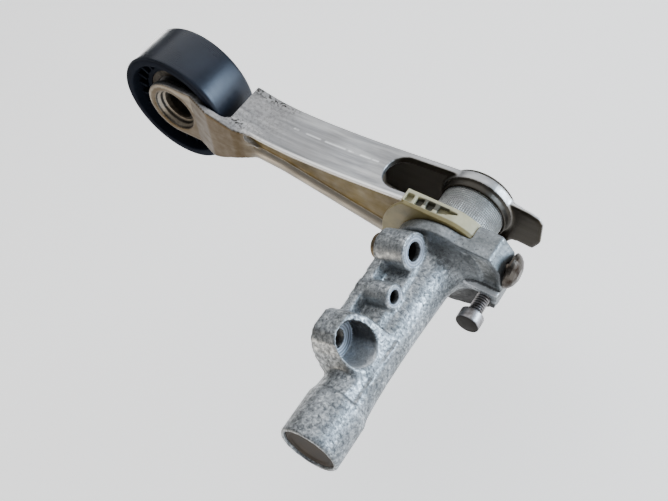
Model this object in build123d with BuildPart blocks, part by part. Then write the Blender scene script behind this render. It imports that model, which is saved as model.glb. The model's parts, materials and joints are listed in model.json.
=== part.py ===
from build123d import *
import os
from math import cos, sin, sqrt, radians

os.makedirs("parts", exist_ok=True)

# Frame: the mounting face is the YZ plane, the lower bolt hole's axis is the X axis, and Y runs
# parallel to the arm's pivot from the tube's open end towards the pulley. All in millimetres.
# Arm coordinates: u runs from the pivot to the pulley and c square to it, up to the arm's top.

# Driving dimensions
tilt = 24.0
pivot_x = 12.5
pivot_z = -17.0
hub_y = 77.5
bolt_hole_r = 4.4
upper_y = 49.5
upper_z = 2.4
upper_face_x = 16.0
lug_top_x = 12.6
lower_face_x = 6.5
spot_face_r = 8.7
small_hole_y = 27.2
small_hole_z = -1.5
small_hole_r = 3.1
small_face_x = 18.0
dowel_r = 6.6
dowel_end_r = 5.95
dowel_out = 4.1
tube_end_y = -43.0
tube_end_r = 13.5
tube_r = 11.4
core_r = 7.05
anchor_r = 10.6
cap_r = 11.8
head_r = 22.7
head_y0 = 59.5
head_y1 = 66.0
block_y0 = 57.0
block_face_y = 59.8
block_y1 = 74.3
journal_r = 14.4
journal_end_y = 97.0
sleeve_r = 15.55
running_gap = 0.06
flange_y = 66.1
flange_thickness = 2.0
flange_r = 24.0
flange_wing_r = 31.8
band_end_y = 75.2
near_hub_r = 19.4
near_hub_y = 68.3
wall_near_y = 75.5
wall_far_y = 103.0
arm_length = 164.35
boss_r = 16.0
boss_crown = 1.2
pulley_r = 32.5
pulley_width = 27.0
rim_inner_r = 27.5
room_r = 40.2
axle_r = 8.5
axle_hole_r = 7.2
bearing_r = 20.0
bearing_width = 12.0
bearing_y = 84.5
ball_r = 3.37
ball_circle_r = 14.25
ball_count = 8
leaf_count = 6
leaf_thickness = 1.6
leaf_width = 9.6
screw_u = -24.6
screw_c = -7.0
screw_r = 3.0
screw_head_y = 49.2
screw_end_y = 63.6
dome_c = 10.5
dome_y = 66.5


def square_to_pivot(y):
    """Plane square to the pivot at y: local x runs to the pulley, local y up from the arm's top."""
    return Plane(
        origin=(pivot_x, y, pivot_z),
        x_dir=(-cos(radians(tilt)), 0, sin(radians(tilt))),
        z_dir=(0, 1, 0),
    )


def arm_point(u, c, y):
    """Point of the row's frame from arm coordinates: u along the arm, c up from the pivot."""
    return (
        pivot_x - u * cos(radians(tilt)) + c * sin(radians(tilt)),
        y,
        pivot_z + u * sin(radians(tilt)) + c * cos(radians(tilt)),
    )


pulley_x = arm_point(arm_length, 0, hub_y)[0]
pulley_z = arm_point(arm_length, 0, hub_y)[2]
pivot_axis = Axis((pivot_x, 0, pivot_z), (0, 1, 0))
pulley_axis = Axis((pulley_x, 0, pulley_z), (0, 1, 0))
pivot_section = Plane.XY.offset(pivot_z)
pulley_section = Plane.XY.offset(pulley_z)
# plan view of the arm: local x to the pulley, local y along the pivot
plan = Plane(
    origin=(pivot_x, hub_y, pivot_z),
    x_dir=(-cos(radians(tilt)), 0, sin(radians(tilt))),
    z_dir=(-sin(radians(tilt)), 0, -cos(radians(tilt))),
)
# seat of the dome screw's head, square to the arm's length
dome_seat = Plane(
    origin=arm_point(-32.1, dome_c, dome_y),
    x_dir=(0, 1, 0),
    z_dir=(cos(radians(tilt)), 0, -sin(radians(tilt))),
)


# Side block of the housing, with a shallow pocket in its near face and a bar that runs along the
# face and turns down at the block's end
with BuildPart() as side_block:
    with BuildSketch(square_to_pivot(block_face_y)):
        with BuildLine():
            Polyline(
                (0, 21.4),
                (-24.6, 20.8),
                (-30.6, 13.5),
                (-31.8, 2.0),
                (-31.0, -9.4),
                (-27.0, -14.5),
                (-18.0, -19.0),
                (-8.0, -22.2),
                (0, -20.0),
                close=True,
            )
        make_face()
    extrude(amount=block_y1 - block_face_y)
    corner_edges = side_block.edges().filter_by(Axis.Y).sort_by(Axis.X)[-5:]
    fillet(corner_edges, 2.2)
    with BuildSketch(square_to_pivot(block_y0)):
        with BuildLine():
            Polyline(
                (-2.0, 2.0),
                (-31.4, 2.0),
                (-30.9, -8.6),
                (-28.4, -9.6),
                (-28.2, -1.4),
                (-2.0, -1.4),
                close=True,
            )
        make_face()
    extrude(amount=block_face_y - block_y0 + 1.0)
    with BuildSketch(square_to_pivot(block_face_y)):
        with BuildLine():
            Polyline(
                (-4.0, 18.6),
                (-23.4, 18.2),
                (-28.2, 12.4),
                (-29.2, 3.6),
                (-4.0, 3.6),
                close=True,
            )
        make_face()
    extrude(amount=1.6, mode=Mode.SUBTRACT)

# Housing: one casting
with BuildPart() as housing:
    # tube with its end collar, flare, head disc and journal, turned about the pivot
    with BuildSketch(pivot_section):
        with BuildLine():
            Polyline(
                (pivot_x, tube_end_y),
                (pivot_x + tube_end_r - 0.6, tube_end_y),
                (pivot_x + tube_end_r, tube_end_y + 0.6),
                (pivot_x + tube_end_r, -22.0),
                (pivot_x + 12.5, -19.2),
            )
            Spline(
                (pivot_x + 12.5, -19.2),
                (pivot_x + 11.7, -8.0),
                (pivot_x + tube_r, 8.0),
                (pivot_x + tube_r + 0.1, 23.0),
                (pivot_x + 12.2, 45.0),
                (pivot_x + 14.4, 56.0),
                (pivot_x + 20.5, head_y0),
            )
            Polyline(
                (pivot_x + 20.5, head_y0),
                (pivot_x + head_r - 0.8, head_y0),
                (pivot_x + head_r, head_y0 + 0.8),
                (pivot_x + head_r, head_y1 - 0.5),
                (pivot_x + head_r - 0.5, head_y1),
                (pivot_x + journal_r, head_y1),
                (pivot_x + journal_r, journal_end_y - 0.8),
                (pivot_x + journal_r - 0.8, journal_end_y),
                (pivot_x, journal_end_y),
                (pivot_x, tube_end_y),
            )
        make_face()
    revolve(axis=pivot_axis)
    # mounting rail that joins the bolt bosses
    with BuildSketch(Plane.YZ):
        with BuildLine():
            Polyline((-4.0, -16.0), (54.0, -16.0), (54.0, 4.6), (-4.0, 2.4), close=True)
        make_face()
    extrude(amount=5.0)
    # upper bolt boss
    with BuildSketch(Plane.YZ):
        with Locations((upper_y, upper_z)):
            Circle(8.6)
    extrude(amount=upper_face_x)
    # small hole's boss
    with BuildSketch(Plane.YZ):
        with Locations((small_hole_y, small_hole_z)):
            Circle(5.8)
    extrude(amount=small_face_x)
    # side lug for the lower bolt and the web that joins it to the tube
    with BuildSketch(Plane.YZ):
        with BuildLine():
            Polyline(
                (-14.6, -16.0),
                (-10.8, -11.6),
                (-10.3, -3.9),
                (-9.4, 1.5),
                (-7.1, 6.4),
                (-3.4, 9.3),
                (6.2, 9.8),
                (9.4, 7.4),
                (12.4, 2.8),
                (13.2, -2.0),
                (13.2, -16.0),
                close=True,
            )
        make_face()
    extrude(amount=24.0)
    # the lug's top slopes from its outer lip up to the tube's crown
    with BuildSketch(Plane.XZ.offset(20.0)):
        with BuildLine():
            Polyline(
                (lug_top_x - 1.0, 10.6),
                (lug_top_x + 10.0, -12.0),
                (26.0, -12.0),
                (26.0, 10.6),
                close=True,
            )
        make_face()
    extrude(amount=-36.0, mode=Mode.SUBTRACT)
    # fairing that fills the valley between the small boss, the upper boss and the tube
    with BuildSketch(Plane.XZ.offset(-12.0)):
        with BuildLine():
            Polyline(
                (2.0, -16.0),
                (2.0, -3.4),
                (15.6, -3.4),
                (17.6, -6.4),
                (22.4, -12.0),
                (16.0, -16.0),
                close=True,
            )
        make_face()
    extrude(amount=-42.0)
    add(side_block.part)
    # room for the arm's near hub and the thrust ring
    with BuildSketch(square_to_pivot(head_y1)):
        Circle(flange_r + 0.6)
        Circle(journal_r, mode=Mode.SUBTRACT)
    extrude(amount=12.0, mode=Mode.SUBTRACT)
    # leaf bore, anchor bore and the end cap's seat
    with BuildSketch(square_to_pivot(tube_end_y)):
        Circle(core_r)
    extrude(amount=journal_end_y - tube_end_y, mode=Mode.SUBTRACT)
    with BuildSketch(square_to_pivot(tube_end_y)):
        Circle(anchor_r)
    extrude(amount=17.5, mode=Mode.SUBTRACT)
    with BuildSketch(square_to_pivot(tube_end_y)):
        Circle(cap_r)
    extrude(amount=3.0, mode=Mode.SUBTRACT)
    # spot face sunk in the lug, where its cutter runs into the tube's flank
    with BuildSketch(Plane.YZ.offset(lower_face_x)):
        Circle(spot_face_r)
    extrude(amount=18.0, mode=Mode.SUBTRACT)
    # spot face round the upper bolt hole
    with BuildSketch(Plane.YZ.offset(upper_face_x)):
        with Locations((upper_y, upper_z)):
            Circle(7.4)
    extrude(amount=6.0, mode=Mode.SUBTRACT)
    # bolt holes
    with BuildSketch(Plane.YZ):
        with Locations((0, 0), (upper_y, upper_z)):
            Circle(bolt_hole_r)
        with Locations((small_hole_y, small_hole_z)):
            Circle(small_hole_r)
    extrude(amount=20.0, mode=Mode.SUBTRACT)
    # counterbore in the mounting face for the locating dowel
    with BuildSketch(Plane.YZ):
        with Locations((upper_y, upper_z)):
            Circle(dowel_r)
    extrude(amount=6.0, mode=Mode.SUBTRACT)
    # tapped holes for the lock screw and the dome screw
    with BuildSketch(square_to_pivot(block_y0)):
        with Locations((screw_u, screw_c)):
            Circle(screw_r)
    extrude(amount=screw_end_y + 1.0 - block_y0, mode=Mode.SUBTRACT)
    with BuildSketch(dome_seat):
        Circle(screw_r)
    extrude(amount=-7.0, mode=Mode.SUBTRACT)
housing.part.label = "housing"
export_step(housing.part, "parts/housing.step")


# Arm: one casting, its side view cut by its plan view
with BuildPart() as arm:
    with BuildSketch(square_to_pivot(hub_y - 5.2)):
        with BuildLine():
            Spline(
                (-10.0, 15.0),
                (6.0, 14.9),
                (29.0, 12.8),
                (62.0, 9.6),
                (89.0, 8.4),
                (117.0, 10.6),
                (131.0, 14.4),
                (148.0, boss_r + boss_crown),
            )
            Line((148.0, boss_r + boss_crown), (arm_length, boss_r + boss_crown))
            ThreePointArc(
                (arm_length, boss_r + boss_crown),
                (arm_length + boss_r + boss_crown / 2, boss_crown / 2),
                (arm_length, -boss_r),
            )
            Line((arm_length, -boss_r), (146.0, -boss_r))
            Spline(
                (146.0, -boss_r),
                (131.0, -14.2),
                (121.0, -9.4),
                (112.0, -7.7),
                (95.0, -9.1),
                (77.0, -12.6),
                (37.0, -21.2),
                (14.0, -24.6),
                (0.0, -25.0),
            )
            tail_arc = CenterArc((0, 0), 25.0, 270, -60)
            Polyline(tail_arc @ 1, (-21.8, 3.0), (-10.0, 15.0))
        make_face()
    extrude(amount=wall_far_y - hub_y + 5.2)
    # near side in plan: straight, then cranked in front of the pulley's rim, then the boss
    with BuildSketch(plan.offset(-30)):
        with BuildLine():
            Polyline(
                (-30.0, -2.0),
                (112.0, -2.0),
                (122.0, -5.1),
                (137.0, -5.1),
                (150.0, -0.6),
                (190.0, -0.6),
                (190.0, -8.0),
                (-30.0, -8.0),
                close=True,
            )
        make_face()
    extrude(amount=60.0, mode=Mode.SUBTRACT)
    # room for the pulley, turned about its axis: round the rim, and over the boss beside its hub
    with BuildSketch(pulley_section):
        with BuildLine():
            Polyline(
                (pulley_x, hub_y + 3.0),
                (pulley_x + rim_inner_r - 1.2, hub_y + 3.0),
                (pulley_x + rim_inner_r - 1.2, hub_y - 1.0),
                (pulley_x + room_r - 3.6, hub_y - 1.0),
                (pulley_x + room_r - 1.4, hub_y - 0.2),
                (pulley_x + room_r - 0.3, hub_y + 1.4),
                (pulley_x + room_r, hub_y + 3.6),
                (pulley_x + room_r, hub_y + 40.0),
                (pulley_x, hub_y + 40.0),
                close=True,
            )
        make_face()
    revolve(axis=pulley_axis, mode=Mode.SUBTRACT)
    # hollow round the pivot, open at the tail
    with BuildSketch(square_to_pivot(hub_y + 2.5)):
        with BuildLine():
            Polyline(
                (-30.0, 11.0),
                (6.0, 10.9),
                (29.0, 8.8),
                (50.0, 6.8),
                (50.0, -14.2),
                (37.0, -17.2),
                (14.0, -20.6),
                (0.0, -21.0),
                (-12.0, -18.0),
                (-30.0, -18.0),
                close=True,
            )
        make_face()
    extrude(amount=19.5, mode=Mode.SUBTRACT)
    # window through the top face into that hollow
    with BuildSketch(plan.offset(-25)):
        with BuildLine():
            Line((-30.0, 2.5), (34.5, 2.5))
            ThreePointArc((34.5, 2.5), (40.9, 5.3), (43.2, 12.2))
            ThreePointArc((43.2, 12.2), (40.6, 19.4), (33.5, 22.0))
            Polyline((33.5, 22.0), (-30.0, 22.0), (-30.0, 2.5))
        make_face()
    extrude(amount=25.0, mode=Mode.SUBTRACT)
    # channel along the arm, open on the far side
    with BuildSketch(square_to_pivot(hub_y + 5.0)):
        with BuildLine():
            Polyline(
                (54.0, 6.4),
                (62.0, 5.6),
                (89.0, 4.4),
                (112.0, 6.0),
                (118.0, 6.8),
                (118.0, -4.0),
                (112.0, -3.6),
                (95.0, -4.8),
                (77.0, -8.4),
                (54.0, -13.4),
                close=True,
            )
        make_face()
    extrude(amount=30.0, mode=Mode.SUBTRACT)
    # recess of the near web, between the thin top edge and the lower rib
    with BuildSketch(square_to_pivot(wall_near_y - 1.0)):
        with BuildLine():
            Polyline(
                (16.0, 13.0),
                (29.0, 11.6),
                (62.0, 8.3),
                (89.0, 7.1),
                (108.0, 8.4),
                (116.0, 9.6),
                (117.0, 6.0),
                (109.0, -0.6),
                (95.0, -2.2),
                (77.0, -6.0),
                (37.0, -14.2),
                (16.0, -16.4),
                close=True,
            )
        make_face()
    extrude(amount=3.6, taper=28, mode=Mode.SUBTRACT)
    # far wall round the pivot, its inner boss ring and the tail
    with BuildSketch(square_to_pivot(hub_y + 20.2)):
        Circle(17.9)
    extrude(amount=wall_far_y - hub_y - 20.2)
    with BuildSketch(square_to_pivot(hub_y + 21.8)):
        with BuildLine():
            Polyline(
                (-12.0, 9.6),
                (-25.0, 8.2),
                (-30.5, 6.6),
                (-32.6, 3.6),
                (-32.8, -10.0),
                (-29.5, -16.4),
                (-12.0, -15.0),
                close=True,
            )
        make_face()
    extrude(amount=2.4)
    with BuildSketch(square_to_pivot(hub_y + 16.4)):
        Circle(16.9)
    extrude(amount=6.0)
    # near hub inside the nylon band
    with BuildSketch(square_to_pivot(near_hub_y)):
        Circle(near_hub_r)
    extrude(amount=wall_near_y - near_hub_y + 0.5)
    # bore that runs on the friction sleeve
    with BuildSketch(square_to_pivot(near_hub_y)):
        Circle(sleeve_r + running_gap)
    extrude(amount=40.0, mode=Mode.SUBTRACT)
    # end boss with its stepped hole for the axle
    with BuildSketch(square_to_pivot(hub_y + 2.0)):
        with Locations((arm_length, 0)):
            Circle(boss_r - 0.4)
    extrude(amount=3.8)
    with BuildSketch(square_to_pivot(hub_y + 5.0)):
        with Locations((arm_length, 0)):
            Circle(11.5)
    extrude(amount=bearing_y - hub_y - 5.0)
    with BuildSketch(square_to_pivot(hub_y - 1.0)):
        with Locations((arm_length, 0)):
            Circle(12.2)
    extrude(amount=2.6, mode=Mode.SUBTRACT)
    with BuildSketch(square_to_pivot(hub_y - 1.0)):
        with Locations((arm_length, 0)):
            Circle(10.8)
    extrude(amount=5.2, mode=Mode.SUBTRACT)
    with BuildSketch(square_to_pivot(hub_y - 1.0)):
        with Locations((arm_length, 0)):
            Circle(axle_r + 0.8)
    extrude(amount=12.0, mode=Mode.SUBTRACT)
arm.part.label = "arm"
export_step(arm.part, "parts/arm.step")


# End cap in the tube's mouth
with BuildPart() as end_cap:
    with BuildSketch(square_to_pivot(tube_end_y + 1.2)):
        Circle(cap_r - 0.02)
    extrude(amount=1.75)
    fillet(end_cap.edges().group_by(Axis.Y)[0], 0.5)
end_cap.part.label = "end_cap"
export_step(end_cap.part, "parts/end_cap.step")


# Leaf pack: flat spring leaves side by side
with BuildPart() as torsion_leaves:
    with BuildSketch(square_to_pivot(tube_end_y + 4.5)):
        for i in range(leaf_count):
            with Locations(((i - (leaf_count - 1) / 2) * leaf_thickness, 0)):
                Rectangle(leaf_thickness - 0.04, leaf_width)
    extrude(amount=101.8 - tube_end_y - 4.5)
torsion_leaves.part.label = "torsion_leaves"
export_step(torsion_leaves.part, "parts/torsion_leaves.step")


# Anchor that holds the fixed end of the leaves
with BuildPart() as leaf_anchor:
    with BuildSketch(square_to_pivot(tube_end_y + 3.1)):
        Circle(anchor_r - 0.02)
        Rectangle(leaf_width + 0.1, leaf_width + 0.1, mode=Mode.SUBTRACT)
    extrude(amount=14.3)
leaf_anchor.part.label = "leaf_anchor"
export_step(leaf_anchor.part, "parts/leaf_anchor.step")


# Friction sleeve on the journal
with BuildPart() as friction_sleeve:
    with BuildSketch(square_to_pivot(near_hub_y)):
        Circle(sleeve_r)
        Circle(journal_r + 0.01, mode=Mode.SUBTRACT)
    extrude(amount=journal_end_y - 0.9 - near_hub_y)
friction_sleeve.part.label = "friction_sleeve"
export_step(friction_sleeve.part, "parts/friction_sleeve.step")


# Nylon thrust ring with the pocketed band on top
wing_u = sqrt(flange_wing_r**2 - flange_r**2)
band_inner_r = flange_r - 4.1
with BuildPart() as thrust_ring:
    with BuildSketch(square_to_pivot(flange_y)):
        with BuildLine():
            Line((0, flange_r), (wing_u, flange_r))
            ThreePointArc((wing_u, flange_r), (flange_wing_r, 0), (wing_u, -flange_r))
            Line((wing_u, -flange_r), (0, -flange_r))
            ThreePointArc((0, -flange_r), (-flange_r, 0), (0, flange_r))
        make_face()
        Circle(journal_r + 0.05, mode=Mode.SUBTRACT)
    extrude(amount=flange_thickness)
    with BuildSketch(square_to_pivot(flange_y + flange_thickness)):
        with BuildLine():
            outer_arc = CenterArc((0, 0), flange_r, 90, 40)
            inner_arc = CenterArc((0, 0), band_inner_r, 90, 40)
            Line(outer_arc @ 1, inner_arc @ 1)
            Polyline((0, flange_r), (22.6, flange_r), (21.2, band_inner_r), (0, band_inner_r))
        make_face()
    extrude(amount=band_end_y - flange_y - flange_thickness)
    # pockets in the band's top, the last one tapering to a point
    with BuildSketch(plan.offset(-24.5)):
        for u in (19.7, 14.6, 9.4):
            with Locations((u, -6.75)):
                Rectangle(3.6, 4.5)
        with BuildLine():
            Polyline((5.6, -9.0), (5.6, -4.5), (-3.2, -4.5), (-3.2, -5.1), close=True)
        make_face()
    extrude(amount=3.3, mode=Mode.SUBTRACT)
thrust_ring.part.label = "thrust_ring"
export_step(thrust_ring.part, "parts/thrust_ring.step")


# Washer between the journal's end and the leaf socket
with BuildPart() as rear_washer:
    with BuildSketch(square_to_pivot(journal_end_y + 0.05)):
        Circle(14.2)
        Circle(8.0, mode=Mode.SUBTRACT)
    extrude(amount=1.0)
rear_washer.part.label = "rear_washer"
export_step(rear_washer.part, "parts/rear_washer.step")


# Socket that takes the leaves' moving end, seated in the arm's far wall
with BuildPart() as leaf_socket:
    with BuildSketch(square_to_pivot(journal_end_y + 1.1)):
        Circle(sleeve_r + running_gap - 0.01)
        Rectangle(leaf_width + 0.1, leaf_width + 0.1, mode=Mode.SUBTRACT)
    extrude(amount=4.2)
leaf_socket.part.label = "leaf_socket"
export_step(leaf_socket.part, "parts/leaf_socket.step")


# Cover pressed into the arm's far wall
with BuildPart() as hub_cap:
    with BuildSketch(pivot_section):
        with BuildLine():
            Polyline(
                (pivot_x, 102.4),
                (pivot_x + 15.5, 102.4),
                (pivot_x + 15.5, 103.05),
                (pivot_x + 17.2, 103.05),
                (pivot_x + 17.2, 104.0),
            )
            ThreePointArc((pivot_x + 17.2, 104.0), (pivot_x + 16.2, 105.3), (pivot_x + 14.5, 105.8))
            Polyline((pivot_x + 14.5, 105.8), (pivot_x, 106.2), (pivot_x, 102.4))
        make_face()
    revolve(axis=pivot_axis)
hub_cap.part.label = "hub_cap"
export_step(hub_cap.part, "parts/hub_cap.step")


# Lock screw through the side block
with BuildPart() as lock_screw:
    with BuildSketch(square_to_pivot(screw_head_y - 6.0)):
        with Locations((screw_u, screw_c)):
            Circle(5.6)
    extrude(amount=6.0)
    fillet(lock_screw.edges().filter_by(GeomType.CIRCLE), 0.7)
    with BuildSketch(square_to_pivot(screw_head_y)):
        with Locations((screw_u, screw_c)):
            Circle(screw_r - 0.02)
    extrude(amount=screw_end_y - screw_head_y)
lock_screw.part.label = "lock_screw"
export_step(lock_screw.part, "parts/lock_screw.step")


# Dome-headed screw in the side block's end
with BuildPart() as dome_screw:
    with BuildSketch(dome_seat):
        Circle(8.2)
    extrude(amount=5.0)
    fillet(dome_screw.faces().filter_by(GeomType.PLANE).sort_by(Axis.X)[-1].edges(), 4.2)
    with BuildSketch(dome_seat):
        Circle(2.98)
    extrude(amount=-6.0)
dome_screw.part.label = "dome_screw"
export_step(dome_screw.part, "parts/dome_screw.step")


# Hollow dowel in the upper bolt's counterbore
with BuildPart() as locating_dowel:
    with BuildSketch(Plane.YZ):
        with Locations((upper_y, upper_z)):
            Circle(dowel_r - 0.01)
    extrude(amount=5.9)
    with BuildSketch(Plane.YZ):
        with Locations((upper_y, upper_z)):
            Circle(dowel_end_r)
    extrude(amount=-dowel_out)
    fillet(locating_dowel.edges().group_by(Axis.X)[0], 1.2)
    with BuildSketch(Plane.YZ.offset(-dowel_out)):
        with Locations((upper_y, upper_z)):
            Circle(bolt_hole_r + 0.2)
    extrude(amount=dowel_out + 5.9, mode=Mode.SUBTRACT)
locating_dowel.part.label = "locating_dowel"
export_step(locating_dowel.part, "parts/locating_dowel.step")


# Hollow axle in the arm's end boss, flared over the bearing's inner ring
with BuildPart() as pulley_axle:
    with BuildSketch(pulley_section):
        with BuildLine():
            Polyline(
                (pulley_x + axle_hole_r, hub_y + 5.4),
                (pulley_x + axle_hole_r + 1.0, hub_y + 4.0),
                (pulley_x + axle_r + 0.5, hub_y + 3.8),
                (pulley_x + axle_r + 0.78, hub_y + 4.1),
                (pulley_x + axle_r + 0.78, bearing_y),
                (pulley_x + axle_r - 0.01, bearing_y),
                (pulley_x + axle_r - 0.01, bearing_y + bearing_width + 0.05),
                (pulley_x + axle_r + 2.2, bearing_y + bearing_width + 0.05),
                (pulley_x + axle_r + 2.2, bearing_y + bearing_width + 1.4),
                (pulley_x + axle_hole_r, bearing_y + bearing_width + 1.9),
                close=True,
            )
        make_face()
    revolve(axis=pulley_axis)
pulley_axle.part.label = "pulley_axle"
export_step(pulley_axle.part, "parts/pulley_axle.step")


# Bearing rings with their ball grooves
ball_y = bearing_y + 0.02 + bearing_width / 2
with BuildPart() as bearing_inner_ring:
    with BuildSketch(pulley_section):
        with Locations((pulley_x + (axle_r + 12.2) / 2, ball_y)):
            Rectangle(12.2 - axle_r, bearing_width)
        with Locations((pulley_x + ball_circle_r, ball_y)):
            Circle(ball_r + 0.07, mode=Mode.SUBTRACT)
    revolve(axis=pulley_axis)
bearing_inner_ring.part.label = "bearing_inner_ring"
export_step(bearing_inner_ring.part, "parts/bearing_inner_ring.step")

with BuildPart() as bearing_outer_ring:
    with BuildSketch(pulley_section):
        with Locations((pulley_x + (bearing_r + 16.3) / 2, ball_y)):
            Rectangle(bearing_r - 16.3, bearing_width)
        with Locations((pulley_x + ball_circle_r, ball_y)):
            Circle(ball_r + 0.07, mode=Mode.SUBTRACT)
    revolve(axis=pulley_axis)
bearing_outer_ring.part.label = "bearing_outer_ring"
export_step(bearing_outer_ring.part, "parts/bearing_outer_ring.step")

with BuildPart() as bearing_balls:
    with Locations(Plane(origin=(pulley_x, ball_y, pulley_z), z_dir=(0, 1, 0))):
        with PolarLocations(ball_circle_r, ball_count):
            Sphere(ball_r)
bearing_balls.part.label = "bearing_balls"
export_step(bearing_balls.part, "parts/bearing_balls.step")

with BuildPart() as ball_cage:
    with BuildSketch(pulley_section):
        with Locations((pulley_x + ball_circle_r, ball_y)):
            Rectangle(1.4, 8.6)
    revolve(axis=pulley_axis)
    with Locations(Plane(origin=(pulley_x, ball_y, pulley_z), z_dir=(0, 1, 0))):
        with PolarLocations(ball_circle_r, ball_count):
            Cylinder(ball_r + 0.08, 6.0, rotation=(0, 90, 0), mode=Mode.SUBTRACT)
ball_cage.part.label = "ball_cage"
export_step(ball_cage.part, "parts/ball_cage.step")


# Seals in the outer ring's mouth, one on the near side and one on the far side
with BuildPart() as bearing_seal_near:
    with BuildSketch(pulley_section):
        with Locations((pulley_x + (12.3 + 16.29) / 2, bearing_y + 1.0)):
            Rectangle(16.29 - 12.3, 1.0)
    revolve(axis=pulley_axis)
bearing_seal_near.part.label = "bearing_seal_near"
export_step(bearing_seal_near.part, "parts/bearing_seal_near.step")

with BuildPart() as bearing_seal_far:
    with BuildSketch(pulley_section):
        with Locations((pulley_x + (12.3 + 16.29) / 2, bearing_y + bearing_width - 1.0)):
            Rectangle(16.29 - 12.3, 1.0)
    revolve(axis=pulley_axis)
bearing_seal_far.part.label = "bearing_seal_far"
export_step(bearing_seal_far.part, "parts/bearing_seal_far.step")


# Pulley: rim, web, ribs and hub in one moulding
with BuildPart() as pulley:
    with BuildSketch(pulley_section):
        with BuildLine():
            Polyline(
                (pulley_x + bearing_r + 0.01, bearing_y - 0.4),
                (pulley_x + 22.6, bearing_y - 0.4),
                (pulley_x + 22.6, hub_y + 10.0),
                (pulley_x + rim_inner_r, hub_y + 10.0),
                (pulley_x + rim_inner_r, hub_y + 0.6),
                (pulley_x + rim_inner_r + 0.6, hub_y),
                (pulley_x + pulley_r - 2.2, hub_y),
            )
            ThreePointArc(
                (pulley_x + pulley_r - 2.2, hub_y),
                (pulley_x + pulley_r - 0.64, hub_y + 0.64),
                (pulley_x + pulley_r, hub_y + 2.2),
            )
            Line((pulley_x + pulley_r, hub_y + 2.2), (pulley_x + pulley_r, hub_y + pulley_width - 2.2))
            ThreePointArc(
                (pulley_x + pulley_r, hub_y + pulley_width - 2.2),
                (pulley_x + pulley_r - 0.64, hub_y + pulley_width - 0.64),
                (pulley_x + pulley_r - 2.2, hub_y + pulley_width),
            )
            Polyline(
                (pulley_x + pulley_r - 2.2, hub_y + pulley_width),
                (pulley_x + rim_inner_r + 0.6, hub_y + pulley_width),
                (pulley_x + rim_inner_r, hub_y + pulley_width - 0.6),
                (pulley_x + rim_inner_r, hub_y + 16.0),
                (pulley_x + 22.6, hub_y + 16.0),
                (pulley_x + 22.6, bearing_y + bearing_width + 0.9),
                (pulley_x + bearing_r + 0.01, bearing_y + bearing_width + 0.9),
                (pulley_x + bearing_r + 0.01, bearing_y - 0.4),
            )
        make_face()
    revolve(axis=pulley_axis)
    # radial ribs on both faces of the web
    with BuildSketch(square_to_pivot(hub_y + 5.0)):
        with Locations((arm_length, 0)):
            with PolarLocations((22.3 + rim_inner_r + 0.3) / 2, 24):
                Rectangle(rim_inner_r + 0.6 - 22.3, 1.3)
    extrude(amount=17.0)
pulley.part.label = "pulley"
export_step(pulley.part, "parts/pulley.step")
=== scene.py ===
"""Belt tensioner: a cast arm with a smooth idler pulley, turning on a tubular cast housing.

The piece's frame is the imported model's: metres, +X along the mounting bolts, +Y along the arm's
pivot towards the pulley. Lengths below are in millimetres and are turned into metres by mm.
"""
import json
from math import cos, pi, radians, sin

import bmesh
import bpy
import numpy as np
from mathutils import Matrix, Vector


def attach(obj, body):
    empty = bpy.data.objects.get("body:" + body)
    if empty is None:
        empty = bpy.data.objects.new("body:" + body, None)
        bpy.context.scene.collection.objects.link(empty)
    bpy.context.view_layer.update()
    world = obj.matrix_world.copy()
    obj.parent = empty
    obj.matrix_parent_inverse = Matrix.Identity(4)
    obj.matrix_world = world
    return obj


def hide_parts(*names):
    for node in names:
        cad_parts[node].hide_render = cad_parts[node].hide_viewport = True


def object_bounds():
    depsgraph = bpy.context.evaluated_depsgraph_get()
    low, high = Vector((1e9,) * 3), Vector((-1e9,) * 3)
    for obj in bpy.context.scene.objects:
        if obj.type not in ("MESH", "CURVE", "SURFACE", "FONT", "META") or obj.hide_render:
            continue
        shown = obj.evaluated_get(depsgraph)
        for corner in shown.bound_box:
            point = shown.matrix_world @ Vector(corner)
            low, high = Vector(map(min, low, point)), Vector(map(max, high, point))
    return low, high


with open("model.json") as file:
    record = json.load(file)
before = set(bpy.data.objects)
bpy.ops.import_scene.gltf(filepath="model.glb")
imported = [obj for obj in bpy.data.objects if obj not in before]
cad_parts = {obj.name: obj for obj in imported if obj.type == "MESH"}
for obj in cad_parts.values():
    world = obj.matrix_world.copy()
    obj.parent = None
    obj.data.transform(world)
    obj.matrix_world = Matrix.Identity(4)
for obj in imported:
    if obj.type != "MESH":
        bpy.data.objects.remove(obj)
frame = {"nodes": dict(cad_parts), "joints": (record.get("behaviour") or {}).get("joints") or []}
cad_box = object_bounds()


# Camera. It stands above the mounting bolts' side and looks down along the arm, rolled so that
# the tube runs to the lower left, as in the photograph.
scene = bpy.context.scene
camera_place = (0.24438, -0.14214, 0.24480)
camera_right = Vector((0.73591, 0.54070, -0.40767))
camera_back = Vector((0.66302, -0.45330, 0.59573))
camera_up = camera_back.cross(camera_right)
camera_data = bpy.data.cameras.new("camera")
camera_data.lens = 48.56
camera_data.sensor_width = 36.0
camera_data.clip_start = 0.01
camera = bpy.data.objects.new("camera", camera_data)
scene.collection.objects.link(camera)
camera.matrix_world = Matrix.Translation(camera_place) @ Matrix(
    (camera_right, camera_up, camera_back)
).transposed().to_4x4()
scene.camera = camera


# Studio. A pale floor well below the part, a dim white room, one tall cool window on the right that
# draws the long highlights, a soft light from above, a small window behind and a weak warm light
# from the lower left.
mm = 0.001
floor_drop = 70 * mm
floor_half = 6.0
floor_z = cad_box[0][2] - floor_drop


def connect(tree, node, **inputs):
    """Links or sets a node's inputs, or its properties. Spaces in input names are underscores here."""
    for key, value in inputs.items():
        label = key.replace("_", " ")
        if label not in node.inputs:
            setattr(node, key, value)
        elif isinstance(value, bpy.types.NodeSocket):
            tree.links.new(value, node.inputs[label])
        else:
            node.inputs[label].default_value = value
    return node


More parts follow.
